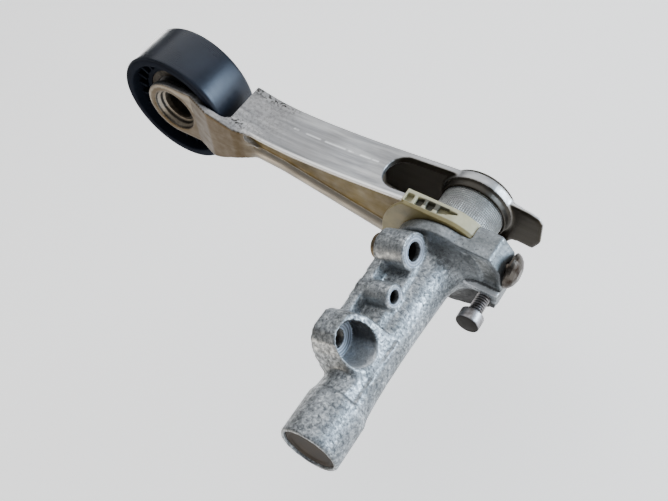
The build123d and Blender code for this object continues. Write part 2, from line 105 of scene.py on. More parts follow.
def node_sheet(name):
    """A new material, with its node tree and its main shader."""
    material = bpy.data.materials.new(name)
    material.use_nodes = True
    tree = material.node_tree
    return material, tree, tree.nodes["Principled BSDF"]


def floor_paint():
    """Matt white paint that glows a little, so that the part's shadow stays soft."""
    material, tree, shader = node_sheet("pale_floor")
    connect(tree, shader, Base_Color=(0.92, 0.92, 0.92, 1), Roughness=0.9,
            Emission_Color=(1, 1, 1, 1), Emission_Strength=0.85)
    return material


def soft_light(name, direction, distance, size, power, colour):
    """An area light that looks at the part's middle. Its distance and size are in metres."""
    data = bpy.data.lights.new(name, "AREA")
    data.shape = "RECTANGLE"
    data.size, data.size_y = size
    data.energy = power
    data.color = colour
    light = bpy.data.objects.new(name, data)
    scene.collection.objects.link(light)
    middle = (Vector(cad_box[0]) + Vector(cad_box[1])) / 2
    heading = Vector(direction).normalized()
    turn = heading.to_track_quat("Z", "Y")
    light.matrix_world = Matrix.Translation(middle + heading * distance) @ turn.to_matrix().to_4x4()


floor_mesh = bpy.data.meshes.new("floor")
floor_mesh.from_pydata(
    [(side_x * floor_half, side_y * floor_half, floor_z)
     for side_x, side_y in ((-1, -1), (1, -1), (1, 1), (-1, 1))],
    [], [(0, 1, 2, 3)])
floor_mesh.materials.append(floor_paint())
floor = bpy.data.objects.new("floor", floor_mesh)
scene.collection.objects.link(floor)

world = bpy.data.worlds.new("room")
world.use_nodes = True
background = world.node_tree.nodes["Background"]
connect(world.node_tree, background, Color=(0.93, 0.96, 1.0, 1), Strength=0.28)
scene.world = world

soft_light("window_right", (0.85, 0.45, -0.20), 0.9, (0.40, 0.9), 22.0, (0.68, 0.84, 1.0))
soft_light("window_top", (0.05, 0.45, 0.89), 1.2, (1.9, 1.9), 19.0, (1.0, 1.0, 1.0))
soft_light("window_behind", (-0.88, 0.48, 0.01), 2.3, (0.6, 0.6), 12.0, (1.0, 1.0, 1.0))
soft_light("warm_left", (-0.55, -0.80, -0.05), 0.9, (0.7, 0.5), 3.6, (1.0, 0.90, 0.76))


# Housing. One aluminium die casting with a tumbled, mottled skin and softened edges. The spot
# faces round its bolt holes are cut after casting, so they stay flat and crisp.
pivot = Vector(frame["joints"][0]["pos_m"])
tilt = radians(24.0)
along_arm = Vector((-cos(tilt), 0.0, sin(tilt)))
across_arm = Vector((sin(tilt), 0.0, cos(tilt)))
housing_grain = 0.55

# Each bolt boss: the y and z of its axis, the radius and x of its spot face, its hole's radius
bolt_bosses = ((0.0, 0.0, 8.5, 6.5, 4.4), (49.5, 2.4, 7.1, 16.0, 4.4), (27.2, -1.5, 4.4, 18.0, 3.1))
pocket_r = 8.7
pocket_floor_x = 6.8
collar_line_y = -19.9
disc_y, disc_end_y = 57.2, 66.0
block_y, block_end_y = 53, 61
bar_edge_c, groove_c, underside_c = 1.6, 2.7, -5.0


def welded_copy(node, name):
    """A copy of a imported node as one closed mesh."""
    mesh = frame["nodes"][node].data.copy()
    mesh.name = name
    mesh.materials.clear()
    shell = bmesh.new()
    shell.from_mesh(mesh)
    bmesh.ops.remove_doubles(shell, verts=shell.verts, dist=2e-6)
    shell.to_mesh(mesh)
    shell.free()
    piece = bpy.data.objects.new(name, mesh)
    scene.collection.objects.link(piece)
    return piece


def baked(piece):
    """The piece's mesh with its modifiers applied, and the modifiers gone."""
    graph = bpy.context.evaluated_depsgraph_get()
    graph.update()
    mesh = bpy.data.meshes.new_from_object(piece.evaluated_get(graph))
    piece.modifiers.clear()
    piece.data = mesh
    mesh.name = piece.name
    return piece


def cast_copy(node, name, grain):
    """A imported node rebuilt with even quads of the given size, so that its edges can be softened."""
    piece = welded_copy(node, name)
    remesh = piece.modifiers.new("even_quads", "REMESH")
    remesh.mode = "VOXEL"
    remesh.voxel_size = grain * mm
    return baked(piece)


def points_of(mesh, what="co"):
    """The places of the mesh's vertices, or their normals, as rows of x, y, z."""
    flat = np.empty(len(mesh.vertices) * 3)
    mesh.vertices.foreach_get(what, flat)
    return flat.reshape(-1, 3)


def arm_places(mesh):
    """The vertices in the arm's own directions, in mm: along it, across it and along the pivot."""
    offset = (points_of(mesh) - np.array(pivot)) / mm
    return offset @ np.array(along_arm), offset @ np.array(across_arm), offset[:, 1]


def between(values, low, high):
    """True where a value lies between low and high."""
    return (values > low) & (values < high)


def fade(values, none, full):
    """Runs evenly from 0, where a value is none, to 1, where it is full."""
    return np.clip((values - none) / (full - none), 0, 1)


def soften(piece, passes, held):
    """Rounds the edges of a casting. held is 1 where a cutter has left the surface crisp."""
    mesh = piece.data
    edges = np.empty(len(mesh.edges) * 2, dtype=np.int64)
    mesh.edges.foreach_get("vertices", edges)
    edges = edges.reshape(-1, 2)
    places = points_of(mesh)
    neighbours = np.bincount(edges.ravel(), minlength=len(places))[:, None]
    free = 0.5 * (1.0 - held)[:, None]
    for _ in range(passes):
        total = np.zeros_like(places)
        for axis in range(3):
            total[:, axis] += np.bincount(edges[:, 0], places[edges[:, 1], axis], len(places))
            total[:, axis] += np.bincount(edges[:, 1], places[edges[:, 0], axis], len(places))
        places += free * (total / neighbours - places)
    mesh.vertices.foreach_set("co", places.ravel())
    mesh.update()


def mark(piece, name, values):
    """Stores one number for each vertex, for the material to read."""
    layer = piece.data.attributes.new(name, "FLOAT", "POINT")
    layer.data.foreach_set("value", np.asarray(values, dtype=np.float32))


def shade(piece, crease):
    """Smooth shading with sharp edges above the crease angle."""
    piece.data.shade_smooth()
    piece.data.set_sharp_from_angle(angle=radians(crease))


def finish_with(piece, material, slot, body, *nodes):
    """Gives the piece its material, its body and the nodes that it stands for. The slot is not used."""
    piece.data.materials.clear()
    piece.data.materials.append(material)
    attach(piece, body)
    if nodes:
        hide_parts(*nodes)


def add_node(tree, kind, **inputs):
    """A new node with its inputs and properties set as connect() says."""
    return connect(tree, tree.nodes.new(kind), **inputs)


def object_space(tree, turn=(0.0, 0.0, 0.0), stretch=(1.0, 1.0, 1.0)):
    """Object coordinates, turned about the origin and then stretched."""
    source = add_node(tree, "ShaderNodeTexCoord").outputs["Object"]
    mapping = add_node(tree, "ShaderNodeMapping", vector_type="TEXTURE", Vector=source, Rotation=turn,
                       Scale=[1 / factor for factor in stretch])
    return mapping.outputs["Vector"]


def noise(tree, vector, scale, detail=3.0, rough=0.55, warp=0.0):
    """A noise value from 0 to 1."""
    return add_node(tree, "ShaderNodeTexNoise", Vector=vector, Scale=scale, Detail=detail,
                    Roughness=rough, Distortion=warp).outputs["Fac"]


def ramp(tree, value, stops):
    """A colour ramp. stops are (place, (r, g, b))."""
    node = add_node(tree, "ShaderNodeValToRGB", Fac=value)
    elements = node.color_ramp.elements
    while len(elements) < len(stops):
        elements.new(0.5)
    for element, (place, colour) in zip(elements, stops):
        element.position = place
        element.color = (*colour, 1)
    return node.outputs["Color"]


def grey_ramp(tree, value, low, high, at_low=0.0, at_high=1.0):
    """value from low to high is stretched to run from at_low to at_high."""
    return add_node(tree, "ShaderNodeMapRange", Value=value, From_Min=low, From_Max=high,
                    To_Min=at_low, To_Max=at_high).outputs["Result"]


def coat(tree, skin, amount, colour, mode="MIX"):
    """Lays a colour over the skin's colour by an amount from 0 to 1."""
    node = add_node(tree, "ShaderNodeMix", data_type="RGBA", blend_type=mode)
    targets = {i.identifier: i for i in node.inputs}
    for label, value in (("Factor_Float", amount), ("A_Color", skin), ("B_Color", colour)):
        if isinstance(value, bpy.types.NodeSocket):
            tree.links.new(value, targets[label])
        else:
            targets[label].default_value = (*value, 1) if isinstance(value, tuple) else value
    return next(o for o in node.outputs if o.type == "RGBA")


def tint(tree, skin, amount, colour):
    """Multiplies the skin's colour by another one, by an amount from 0 to 1."""
    return coat(tree, skin, amount, colour, "MULTIPLY")


def arithmetic(tree, operation, first, second=0.0):
    """One step of arithmetic on sockets or numbers."""
    node = add_node(tree, "ShaderNodeMath", operation=operation)
    for target, value in zip(node.inputs, (first, second)):
        if isinstance(value, bpy.types.NodeSocket):
            tree.links.new(value, target)
        else:
            target.default_value = value
    return node.outputs["Value"]


def times(tree, first, second):
    """The product of two sockets or numbers."""
    return arithmetic(tree, "MULTIPLY", first, second)


def less(tree, whole, part):
    """What is left of the whole when the part is taken off."""
    return arithmetic(tree, "SUBTRACT", whole, part)


def stored(tree, *names):
    """The numbers that mark() stored, one socket for each name."""
    sockets = [add_node(tree, "ShaderNodeAttribute", attribute_name=name).outputs["Fac"] for name in names]
    return sockets if len(sockets) > 1 else sockets[0]


def hollows(tree, reach, start, full):
    """1 in hollows that are narrow against reach, in metres, and 0 in the open."""
    openness = add_node(tree, "ShaderNodeAmbientOcclusion", Distance=reach).outputs["AO"]
    return grey_ramp(tree, openness, start, full)


def edge_wear(tree, low, high):
    """1 on worn outer edges, 0 elsewhere."""
    return grey_ramp(tree, add_node(tree, "ShaderNodeNewGeometry").outputs["Pointiness"], low, high)


def bump(tree, shader, *layers):
    """Stacks bump layers, each (height socket, depth in mm, strength)."""
    below = None
    for height, depth, strength in layers:
        node = add_node(tree, "ShaderNodeBump", Strength=strength, Distance=depth * mm, Height=height)
        if below:
            tree.links.new(below, node.inputs["Normal"])
        below = node.outputs["Normal"]
    tree.links.new(below, shader.inputs["Normal"])


def mottled_casting():
    """Tumbled die-cast aluminium: pale crystals and dark pits on a blue-grey skin."""
    material, tree, shader = node_sheet("mottled_casting")
    place = object_space(tree)
    cloud = noise(tree, place, 85.0, 2.0)
    fleck = noise(tree, place, 640.0, 2.5, 0.6, 0.5)
    pit = noise(tree, place, 900.0, 2.0, 0.5)
    even, machined, reach, painted_shade = stored(tree, "even", "machined", "reach", "painted_shade")
    off_highlights = less(tree, 1.0, stored(tree, "highlight_zone"))

    skin = ramp(tree, fleck, ((0.30, (0.12, 0.132, 0.145)), (0.45, (0.26, 0.28, 0.30)),
                              (0.56, (0.37, 0.40, 0.425)), (0.72, (0.66, 0.70, 0.73))))
    skin = coat(tree, skin, times(tree, even, 0.75), (0.205, 0.222, 0.232))
    tone = ramp(tree, cloud, ((0.36, (0.62, 0.62, 0.61)), (0.62, (1.0, 1.0, 1.0))))
    skin = tint(tree, skin, 1.0, tone)
    dark_pits = times(tree, grey_ramp(tree, pit, 0.38, 0.31), 0.65)
    skin = coat(tree, skin, dark_pits, (0.06, 0.062, 0.062))
    # A painted warm cast on the faces turned towards -x and -y and under the side block
    skin = tint(tree, skin, stored(tree, "painted_warm_cast"), (0.97, 0.93, 0.88))
    # Painted shade in narrow hollows, held off the painted highlights
    hollow_shade = times(tree, hollows(tree, 0.005, 0.65, 0.15), off_highlights)
    skin = coat(tree, skin, times(tree, hollow_shade, 0.30), (0.085, 0.084, 0.082))

    cutter_marks = arithmetic(tree, "SINE", times(tree, reach, 4.6))
    rings = arithmetic(tree, "ADD", times(tree, cutter_marks, 0.3), 0.5)
    bright = ramp(tree, rings, ((0.25, (0.26, 0.31, 0.39)), (0.75, (0.68, 0.77, 0.90))))
    skin = coat(tree, skin, machined, bright)
    worn = times(tree, edge_wear(tree, 0.55, 0.64), off_highlights)
    wear_amount = arithmetic(tree, "ADD", 0.30, times(tree, even, 0.35))
    skin = coat(tree, skin, times(tree, worn, wear_amount), (0.60, 0.62, 0.64))
    # Painted highlights
    skin = coat(tree, skin, stored(tree, "painted_highlight"), (0.62, 0.65, 0.68))
    # Painted shade in the holes, the pocket, the groove and on the side block, and the black line round
    # the collar
    skin = coat(tree, skin, painted_shade, (0.014, 0.013, 0.013))

    # Where shade is painted, the skin is also less metallic and less shiny
    clean = less(tree, 1.0, times(tree, painted_shade, 0.85))
    metal = less(tree, 0.75, times(tree, machined, 0.62))
    connect(tree, shader, Base_Color=skin, Metallic=times(tree, metal, clean),
            Specular_IOR_Level=times(tree, clean, 0.5),
            Roughness=grey_ramp(tree, fleck, 0.35, 0.7, 0.56, 0.34))
    calm = arithmetic(tree, "MAXIMUM", machined, times(tree, even, 0.7))
    bump(tree, shader, (times(tree, less(tree, 1.0, calm), fleck), 0.40, 0.5), (pit, 0.15, 0.2))
    return material


housing = cast_copy("housing", "housing_casting", housing_grain)
x, y, z = points_of(housing.data).T / mm
held = (x < 0.25).astype(float)
machined = np.zeros(len(x))
painted_shade = np.zeros(len(x))
ring_reach = np.full(len(x), 99.0)
for bolt_y, bolt_z, face_r, face_x, hole_r in bolt_bosses:
    reach = np.hypot(y - bolt_y, z - bolt_z)
    face = (reach < face_r) & (abs(x - face_x) < 0.4)
    bore = (reach < hole_r + 0.5) & between(x, 0.2, face_x)
    held = np.maximum(held, np.maximum(face, bore))
    machined = np.maximum(machined, face * (1.0 if bolt_y < 1 else 0.7))
    # Painted shade darkens each bolt hole deeper than its spot face
    painted_shade = np.maximum(painted_shade, bore * fade(x, face_x, face_x - 3))
    ring_reach = np.minimum(ring_reach, reach)

# The lower bolt's pocket keeps a fairly crisp lip above and melts into the tube's flank below.
# Painted shade darkens its upper right wall, and a black line runs round the tube's collar.
lower_reach = np.hypot(y, z)
pocket_wall = (abs(lower_reach - pocket_r) < 0.7) & (x > pocket_floor_x + 0.2)
pocket_shade = pocket_wall * fade(y, -1, 3) * fade(z, -8.5, -5.5)
collar_line = (abs(y - collar_line_y) < 0.4) * (x > 4)
painted_shade = np.maximum.reduce([painted_shade, 0.86 * pocket_shade, 0.45 * collar_line])
lip = (lower_reach < pocket_r + 1.7) & (x > pocket_floor_x) & (z > -1.5)
held = np.maximum(held, 0.75 * lip)
open_side = (lower_reach < 14) & (x > 8.0) & (z < -2.0) & (y < 3.0)
soften(housing, 30, 1.0 - open_side)
soften(housing, 7, np.maximum(0.93 * held, 0.72 * between(y, disc_y, disc_end_y)))

# The side block stands in the arm's shade, which is painted onto its near face as a darkness that
# changes with height. Its bar's edge has a painted highlight under a groove of painted shade, and the
# painted shade is near black on the block's underside.
block_u, block_c, _ = arm_places(housing.data)
normals = points_of(housing.data, "normal")
near_face = between(y, block_y, block_end_y) & (normals[:, 1] < -0.45)
bar_edge = between(y, 56.8, 59.3) & (abs(block_c - bar_edge_c) < 0.8) & (block_u < -12)
groove = between(y, 57.4, 61) & (abs(block_c - groove_c) < 0.6) & (block_u < -5)
shaded = np.interp(block_c, (-22, -8, -5.5, -4, 2.5, 6, 10, 17, 18),
                   (0.94, 0.93, 0.88, 0.05, 0.02, 0.06, 0.36, 0.46, 0.10))
painted_shade = np.maximum.reduce([painted_shade, shaded * near_face, 0.75 * groove])

# Painted highlights: the bar's edge, the pocket's lower wall and the sides of the bosses that face the
# tube's open end
pocket_low = (abs(lower_reach - pocket_r - 0.5) < 1.6) * (x > pocket_floor_x) * fade(z, -1, -5)
facing_left = np.clip(-1.4 * normals[:, 1] - 0.3, 0, 1) * between(y, 12, 53) * (x > 1)
painted_highlight = [0.75 * bar_edge, 0.34 * pocket_low * (lower_reach < pocket_r + 0.4), 0.2 * facing_left]
# A painted warm cast on the block's underside and on the faces turned towards -x and -y
under = near_face & (block_c < underside_c)
low_side = np.clip(-0.75 * normals[:, 0] - 0.75 * normals[:, 1] + 0.1, 0, 1) * (1 - near_face)
mark(housing, "even", fade(y, 54, 59))
mark(housing, "machined", machined)
mark(housing, "reach", ring_reach)
mark(housing, "painted_shade", painted_shade)
mark(housing, "painted_highlight", np.maximum.reduce(painted_highlight))
# The painted highlights are kept clear of the painted shade in hollows and of edge wear
mark(housing, "highlight_zone", np.maximum(pocket_low, 0.6 * facing_left))
mark(housing, "painted_warm_cast", np.maximum(under, low_side))
shade(housing, 60)
finish_with(housing, mottled_casting(), "housing_casting", "base", "housing")


# Arm. One aluminium casting with a long channel, its top face linished lengthwise, its near side
# stained yellow-brown by belt dust and oil, and its edges rubbed bright. Painted highlights run along
# its top edge, rib and tail, a painted warm cast lies on its near and lower faces, and painted shade
# darkens its hollows and parts of its window's inside, which is painted pale as fill light.
arm_length = 164.35
arm_grain = 0.56

# In the arm's own directions, u runs from the pivot towards the pulley, c is square to it and up,
# and a runs along the pivot from the pulley's near edge
tail_u = -21
rib_u, rib_end_u = 14, 116
recess_end_u = 118
window_end_u = 50.6
boss_step_r = 12.3
sleeve_ring_r = 18.4
beside_pulley_u = 122
seam_a, far_edge_a = 13.7, 23.5


def scuffed_casting():
    """Satin cast aluminium with lengthwise scratches, bright worn edges, painted highlights, a painted
    warm cast, painted shade and a brown film in recesses.
    """
    material, tree, shader = node_sheet("scuffed_casting")
    place = object_space(tree)
    lengthwise = object_space(tree, (0.0, tilt, 0.0), (22.0, 380.0, 380.0))
    streak = noise(tree, lengthwise, 1.0, 4.0, 0.6, 0.2)
    hairlines = object_space(tree, (0.0, tilt + 0.03, 0.0), (60.0, 2600.0, 2600.0))
    scratch = noise(tree, hairlines, 1.0, 2.0)
    breaks = noise(tree, object_space(tree, (0.0, tilt, 0.0), (160.0, 8.0, 8.0)), 1.0, 2.0)
    patch = noise(tree, place, 45.0, 3.0)
    seam, highlight_and_wear, inside = stored(tree, "seam", "highlight_and_wear", "inside")
    film, grease, dust = stored(tree, "film", "grease", "dust")

    skin = ramp(tree, streak, ((0.30, (0.27, 0.275, 0.285)), (0.50, (0.36, 0.365, 0.375)),
                               (0.72, (0.50, 0.505, 0.51))))
    tone = ramp(tree, patch, ((0.35, (0.84, 0.83, 0.82)), (0.62, (1.0, 1.0, 1.0))))
    skin = tint(tree, skin, 1.0, tone)
    broken_seam = times(tree, seam, grey_ramp(tree, breaks, 0.42, 0.50))
    skin = coat(tree, skin, broken_seam, (0.80, 0.81, 0.82))
    # Painted highlights along the top edge, rib and tail, and a lighter end boss
    skin = coat(tree, skin, highlight_and_wear, (0.90, 0.89, 0.87))
    film_noise = grey_ramp(tree, noise(tree, place, 140.0, 3.0), 0.3, 0.65, 0.78, 1.0)
    stain = ramp(tree, patch, ((0.35, (0.062, 0.045, 0.011)), (0.65, (0.142, 0.110, 0.034))))
    skin = coat(tree, skin, times(tree, film, film_noise), stain)
    smear = grey_ramp(tree, noise(tree, place, 190.0, 3.0), 0.30, 0.62, 0.86, 1.0)
    skin = coat(tree, skin, times(tree, grease, smear), (0.082, 0.058, 0.024))
    # A painted warm cast on the near and lower faces
    skin = tint(tree, skin, stored(tree, "painted_warm_cast"), (0.80, 0.71, 0.58))
    skin = tint(tree, skin, stored(tree, "dull"), (0.80, 0.79, 0.78))
    specks = grey_ramp(tree, noise(tree, place, 640.0, 3.0, 0.6), 0.50, 0.56)
    skin = coat(tree, skin, times(tree, dust, specks), (0.025, 0.024, 0.022))
    # Painted shade in narrow hollows, held off the painted highlights and the window's inside
    shade_held_off = arithmetic(tree, "MAXIMUM", times(tree, highlight_and_wear, 0.6), times(tree, inside, 0.75))
    hollow_shade = times(tree, hollows(tree, 0.008, 0.65, 0.15), less(tree, 0.75, shade_held_off))
    skin = coat(tree, skin, hollow_shade, (0.050, 0.040, 0.028))
    skin = coat(tree, skin, times(tree, edge_wear(tree, 0.53, 0.60), 0.8), (0.82, 0.81, 0.80))
    # Painted fill light: the window's inside is made pale and matt, so that it is not black
    skin = coat(tree, skin, times(tree, inside, 0.95), (0.84, 0.78, 0.71))
    # Painted shade
    skin = coat(tree, skin, stored(tree, "painted_shade"), (0.021, 0.0165, 0.010))

    connect(tree, shader, Base_Color=skin, Metallic=less(tree, 0.8, times(tree, inside, 0.8)),
            Roughness=grey_ramp(tree, streak, 0.3, 0.7, 0.50, 0.34))
    bump(tree, shader, (patch, 0.4, 0.3), (streak, 0.10, 0.4), (scratch, 0.03, 0.35), (seam, 0.15, 0.6))
    return material


# The rib below the near-side recess gets a rounded crown, and the tail's corners are rounded
arm = cast_copy("arm", "arm_casting", arm_grain)
u, c, a = arm_places(arm.data)
rib_top = np.interp(u, (16, 37, 77, 95, 109, 116), (-16.4, -14.2, -6.0, -2.2, -0.6, 1.0))
rib_foot = np.interp(u, (14, 37, 77, 95, 112, 121), (-24.6, -21.2, -12.6, -9.1, -7.7, -9.4))
rib_half = (rib_top - rib_foot) / 2 + 0.6
swell = (c - (rib_top + rib_foot) / 2) / rib_half
on_rib = (abs(swell) < 1.15) & (a < 0.6) & between(u, rib_u, rib_end_u)
sunk = 2.3 * swell ** 2 * fade(u, rib_end_u, rib_end_u - 6) * fade(a, 0.6, -2.0)
moved = points_of(arm.data)
moved[:, 1] += np.where(on_rib, sunk, 0.0) * mm
arm.data.vertices.foreach_set("co", moved.ravel())
soften(arm, 4, np.zeros(len(moved)))
soften(arm, 12, 1.0 - (u < tail_u))

# Where each part of the arm is, and which way it faces
u, c, a = arm_places(arm.data)
normals = points_of(arm.data, "normal")
upward = normals @ np.array(across_arm)
facing_near = np.clip(-normals[:, 1] * 1.5 - 0.2, 0, 1)
facing_up = np.clip(upward * 2 - 1, 0, 1)
boss_reach = np.hypot(u - arm_length, c)
boss_end_r = boss_reach[(a < 0.6) & (u > 168)].max()
pivot_reach = np.hypot(u, c)
hollow_floor = np.interp(u, (-30, -12, 0, 14, 37, 50), (-18, -18, -21, -20.6, -17.2, -14.2))
hollow_roof = np.interp(u, (-30, 6, 29, 50), (11, 10.9, 8.8, 6.8))
hollow = between(c, hollow_floor - 0.4, hollow_roof + 0.4) & between(a, 2.2, 22.4)
inside = hollow & between(u, 4, window_end_u) & (pivot_reach > 19)
rib_light = on_rib * np.clip(upward * 2.2 - 0.2, 0, 1) * (a < 0.4)
tail_line = (u < -8) & (upward > 0.25) & (c > 2)
top_edge = (c > 4) * (u > rib_u) * fade(u, 119, 110) * fade(a, -0.2, -0.6)
top_line = top_edge * np.clip(upward * 3 + 0.2, 0, 1)
boss_rim = (boss_reach > boss_end_r - 2.2) & (u > 150) & (a < 1.6) & (c > -3)
step_floor = (boss_reach < boss_step_r) * (a > 0.8) * facing_near
step_wall = (boss_reach < boss_step_r + 0.3) * (a > -0.2) * (facing_near < 0.4)
ring_front = (pivot_reach < sleeve_ring_r) & (u < 51) & between(a, 15.5, 20.6)
hub_front = facing_near * (a > 10) * (u < 60)

# Painted highlights on the top edge, the rib's crown and the tail's top, a lighter rim and step on the end
# boss, then oil and belt dust
highlight_and_wear = 0.16 * rib_light + 0.95 * top_line + 0.4 * step_floor + 0.15 * boss_rim + 0.5 * tail_line
film = facing_near * between(a, -1.2, 4) * (u < recess_end_u) * (1 - 0.8 * rib_light)
boss_shine = (1 - 0.5 * step_floor) * (1 - 0.4 * boss_rim)
grease = facing_near * fade(u, recess_end_u - 12, recess_end_u) * boss_shine
# A painted warm cast on the near and lower faces, held off the painted highlights
painted_warm_cast = np.clip(facing_near + (c < -5) * 0.8, 0, 1) * (1 - 0.15 * rib_light) * (1 - top_line)
far_edge = fade(u, 98, 106) * fade(abs(a - far_edge_a), 3.9, 0.9)
beside_pulley = fade(abs(u - beside_pulley_u), 9.1, 2.1) * fade(abs(a - 1), 4.8, 0.8)
dust = np.maximum.reduce([far_edge, beside_pulley, 0.3 * fade(u, 92, 112)])
seam = between(u, 48, 97) * fade(abs(a - seam_a), 0.448, 0.168)
mark(arm, "highlight_and_wear", np.clip(highlight_and_wear, 0, 1))
mark(arm, "inside", inside)
mark(arm, "dull", facing_up * fade(u, 66, 102))
mark(arm, "film", np.maximum(film, 0.15 * on_rib))
mark(arm, "grease", grease)
mark(arm, "painted_warm_cast", painted_warm_cast)
# Painted shade inside the window, on the sleeve ring's front and on the end boss's step wall
mark(arm, "painted_shade", np.maximum.reduce([hub_front, 0.95 * ring_front, 0.7 * step_wall]))
mark(arm, "dust", facing_up * dust)
mark(arm, "seam", facing_up * seam)
shade(arm, 60)
finish_with(arm, scuffed_casting(), "arm_casting", "arm", "arm")


# Pulley. One black glass-filled nylon moulding, 65 mm across: a smooth rim, a web with ribs on
# both faces and a hub moulded round the bearing. The belt has polished the rim.
pulley_centre = Vector(frame["joints"][1]["pos_m"])
pulley_y = 77.5
pulley_end_y = pulley_y + 27.0
web_y, web_end_y = 87.5, 93.5
rim_r, rim_inner_r = 32.47, 27.5
hub_r, bearing_seat_r = 22.6, 20.01
hub_y, hub_end_y = 84.1, 97.4
rib_count = 24


def corner_rounded(corners, radius):
    """The outline's corners, each (r, y) or (r, y, own radius), as short curves."""
    outline = []
    curve_steps = 4
    for i, corner in enumerate(corners):
        here = Vector(corner[:2])
        bend = corner[2] if len(corner) > 2 else radius
        before = Vector(corners[i - 1][:2]) - here
        after = Vector(corners[(i + 1) % len(corners)][:2]) - here
        if bend <= 0 or here.x < 1e-6:
            outline.append(here)
            continue
        half = before.angle(after) / 2
        reach = min(bend / max(abs(np.tan(half)), 1e-6), 0.45 * before.length, 0.45 * after.length)
        start, end = here + before.normalized() * reach, here + after.normalized() * reach
        for step in range(curve_steps + 1):
            t = step / curve_steps
            outline.append((1 - t) ** 2 * start + 2 * t * (1 - t) * here + t * t * end)
    return outline


def turned(name, centre, corners, radius=0.0, steps=96):
    """A turned or moulded round piece, closed round an axis along Y. corners are (r, y) in mm."""
    shell = bmesh.new()
    ring = [shell.verts.new((centre[0] + place.x * mm, place.y * mm, centre[2]))
            for place in corner_rounded(corners, radius)]
    edges = [shell.edges.new((ring[i], ring[(i + 1) % len(ring)])) for i in range(len(ring))]
    bmesh.ops.spin(shell, geom=ring + edges, cent=centre, axis=(0, 1, 0), angle=2 * pi, steps=steps)
    bmesh.ops.remove_doubles(shell, verts=shell.verts, dist=1e-6)
    flat = [f for f in shell.faces if f.calc_area() < 1e-14]
    bmesh.ops.delete(shell, geom=flat, context="FACES")
    bmesh.ops.recalc_face_normals(shell, faces=shell.faces)
    mesh = bpy.data.meshes.new(name)
    shell.to_mesh(mesh)
    shell.free()
    piece = bpy.data.objects.new(name, mesh)
    scene.collection.objects.link(piece)
    return piece


def belt_polished_nylon():
    """Black moulded nylon, glossy where the belt runs, with fine rings along the rim."""
    material, tree, shader = node_sheet("belt_polished_nylon")
    rings = noise(tree, object_space(tree, stretch=(25.0, 2600.0, 25.0)), 1.0, 3.0)
    smear = noise(tree, object_space(tree), 60.0, 3.0)
    belt = stored(tree, "belt")
    skin = ramp(tree, smear, ((0.35, (0.006, 0.0075, 0.012)), (0.70, (0.012, 0.015, 0.023))))
    gloss = arithmetic(tree, "ADD", grey_ramp(tree, smear, 0.3, 0.7, 0.24, 0.34),
                       grey_ramp(tree, rings, 0.4, 0.8, 0.0, 0.08))
    dull = times(tree, less(tree, 1.0, belt), 0.4)
    connect(tree, shader, Base_Color=skin, Roughness=arithmetic(tree, "ADD", gloss, dull),
            Specular_IOR_Level=grey_ramp(tree, belt, 0.0, 1.0, 0.03, 0.33),
            Specular_Tint=(0.80, 0.87, 1.0, 1))
    bump(tree, shader, (rings, 0.02, 0.25), (smear, 0.1, 0.1))
    return material


def new_tree(name, *inputs):
    """A Geometry Nodes tree and its inputs' sockets. inputs are (kind, label, label and so on)."""
    tree = bpy.data.node_groups.new(name, "GeometryNodeTree")
    for kind, *labels in (("Geometry", "Geometry"), *inputs, ("Material", "Finish")):
        for label in labels:
            tree.interface.new_socket(label, in_out="INPUT", socket_type="NodeSocket" + kind)
    tree.interface.new_socket("Geometry", in_out="OUTPUT", socket_type="NodeSocketGeometry")
    return tree, tree.nodes.new("NodeGroupInput").outputs


def lay_and_paint(tree, shape, turn, place, finish):
    """Turns a shape that is built along Z to lie along Y, moves it, makes it real and paints it."""
    laid = add_node(tree, "GeometryNodeTransform", Geometry=shape, Rotation=(radians(turn), 0.0, 0.0),
                    Translation=place)
    real = add_node(tree, "GeometryNodeRealizeInstances", Geometry=laid.outputs["Geometry"])
    paint = add_node(tree, "GeometryNodeSetMaterial", Geometry=real.outputs["Geometry"], Material=finish)
    add_node(tree, "NodeGroupOutput", Geometry=paint.outputs["Geometry"])
    return tree


def rib_ring():
    """A Geometry Nodes tree: ribs set evenly round an axis along Y."""
    tree, given = new_tree("rib_ring", ("Float", "Ring Radius", "Rib Length", "Rib Height", "Rib Width"),
                           ("Int", "Count"), ("Vector", "Centre"))
    circle = add_node(tree, "GeometryNodeMeshCircle", Vertices=given["Count"], Radius=given["Ring Radius"])
    size = add_node(tree, "ShaderNodeCombineXYZ", X=given["Rib Length"], Y=given["Rib Width"],
                    Z=given["Rib Height"])
    rib = add_node(tree, "GeometryNodeMeshCube", Size=size.outputs["Vector"])
    place = add_node(tree, "GeometryNodeInputPosition")
    outward = add_node(tree, "FunctionNodeAlignRotationToVector", axis="X",
                       Vector=place.outputs["Position"])
    spread = add_node(tree, "GeometryNodeInstanceOnPoints", Points=circle.outputs["Mesh"],
                      Instance=rib.outputs["Mesh"], Rotation=outward.outputs["Rotation"])
    return lay_and_paint(tree, spread.outputs["Instances"], 90, given["Centre"], given["Finish"])


def grown(name, tree, values):
    """An empty piece that a Geometry Nodes tree fills, turned into a plain mesh."""
    piece = bpy.data.objects.new(name, bpy.data.meshes.new(name))
    scene.collection.objects.link(piece)
    modifier = piece.modifiers.new("build", "NODES")
    modifier.node_group = tree
    for item in tree.interface.items_tree:
        if item.item_type == "SOCKET" and item.in_out == "INPUT" and item.name in values:
            modifier[item.identifier] = values[item.name]
    return baked(piece)


